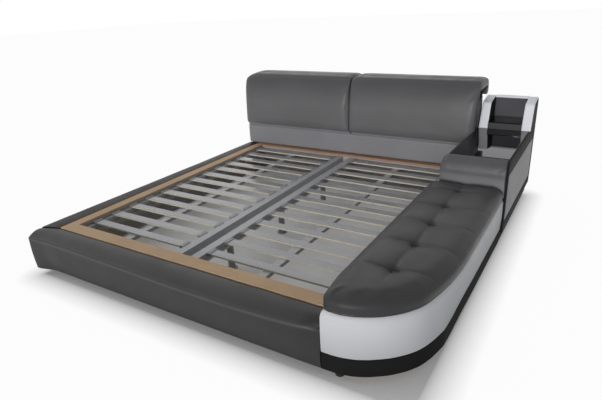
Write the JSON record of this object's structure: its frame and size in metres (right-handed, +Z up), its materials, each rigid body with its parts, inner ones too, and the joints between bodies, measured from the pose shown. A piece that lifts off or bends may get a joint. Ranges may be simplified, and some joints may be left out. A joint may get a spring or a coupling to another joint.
{
  "type": "upholstered bed with side seat and console",
  "caption": "Low upholstered platform bed with a slatted base, a tufted side seat, a glass-topped bedside console and tilting headrests.",
  "frame": {"origin": "on the floor, in the middle of the bed's bounding box", "axes": "+X to the right seen from the foot, towards the side seat; +Y from the foot to the headboard; +Z up"},
  "size_m": [2.32, 2.51, 0.885],
  "materials": {
    "dark_leather": "dark grey bonded leather, soft satin with a fine pebble grain",
    "headboard_leather": "dark grey bonded leather, satin, lit a little lighter",
    "white_leather": "white bonded leather, smooth satin",
    "tan_board": "unlacquered fibreboard, tan",
    "plywood": "bare plywood",
    "pine": "planed pine",
    "slat_foil": "flat slat wrapped in grey foil, with bare edges",
    "grey_steel": "grey powder coat",
    "zinc_steel": "zinc plated",
    "black_glass": "back-painted black glass, polished",
    "black_lacquer": "black high-gloss lacquer",
    "black_plastic": "black moulded plastic"
  },
  "bodies": {
    "bed": {"arm_trims": "white_leather", "bearer_foot": "pine", "bearer_head": "pine", "bearer_left": "pine", "bearer_right": "pine", "bracket_screws": "zinc_steel", "centre_beam": "pine", "centre_legs": "grey_steel", "chaise_band": "white_leather", "chaise_bottom_board": "plywood", "chaise_buttons": "dark_leather", "chaise_cross_boards": "plywood", "chaise_curved_side": "plywood", "chaise_cushion": "dark_leather", "chaise_plinth": "dark_leather", "chaise_seat_board": "plywood", "console_arm_left": "dark_leather", "console_arm_right": "dark_leather", "console_back_board": "dark_leather", "console_back_trim": "white_leather", "console_cross_rail": "dark_leather", "console_floor_board": "plywood", "console_front_board": "plywood", "console_front_pad": "dark_leather", "console_glass": "black_glass", "console_inner_pad": "dark_leather", "console_left_side": "plywood", "console_plinth": "dark_leather", "console_right_side": "plywood", "console_shelf": "black_lacquer", "console_side_border": "dark_leather", "console_side_panel": "white_leather", "console_top_board": "plywood", "corner_brackets": "zinc_steel", "feet": "black_plastic", "foot_rail_board": "plywood", "foot_rail_cover": "dark_leather", "headboard_back_cover": "dark_leather", "headboard_frame": "plywood", "headboard_lower_band": "headboard_leather", "hinge_fixed_leaves": "zinc_steel", "hinge_pins": "zinc_steel", "ledge_foot": "tan_board", "ledge_head": "tan_board", "ledge_left": "tan_board", "ledge_right": "tan_board", "left_rail_board": "plywood", "left_rail_cover": "dark_leather", "right_rail_board": "plywood", "slat_frame_left": "grey_steel", "slat_frame_right": "grey_steel", "slat_holders": "black_plastic", "slats_left": "slat_foil", "slats_right": "slat_foil"},
    "headrest_left": {"headrest_left_cushion": "headboard_leather", "headrest_left_frame": "plywood", "headrest_left_hinge_leaves": "zinc_steel"},
    "headrest_right": {"headrest_right_cushion": "headboard_leather", "headrest_right_frame": "plywood", "headrest_right_hinge_leaves": "zinc_steel"}
  },
  "joints": [
    {"name": "headrest_left_tilt", "type": "hinge", "parent": "bed", "child": "headrest_left", "pos_m": [-0.6535, 0.934, 0.475], "axis": [1, 0, 0], "range_deg": [0, 30]},
    {"name": "headrest_right_tilt", "type": "hinge", "parent": "bed", "child": "headrest_right", "pos_m": [0.3295, 0.934, 0.475], "axis": [1, 0, 0], "range_deg": [0, 30]}
  ]
}
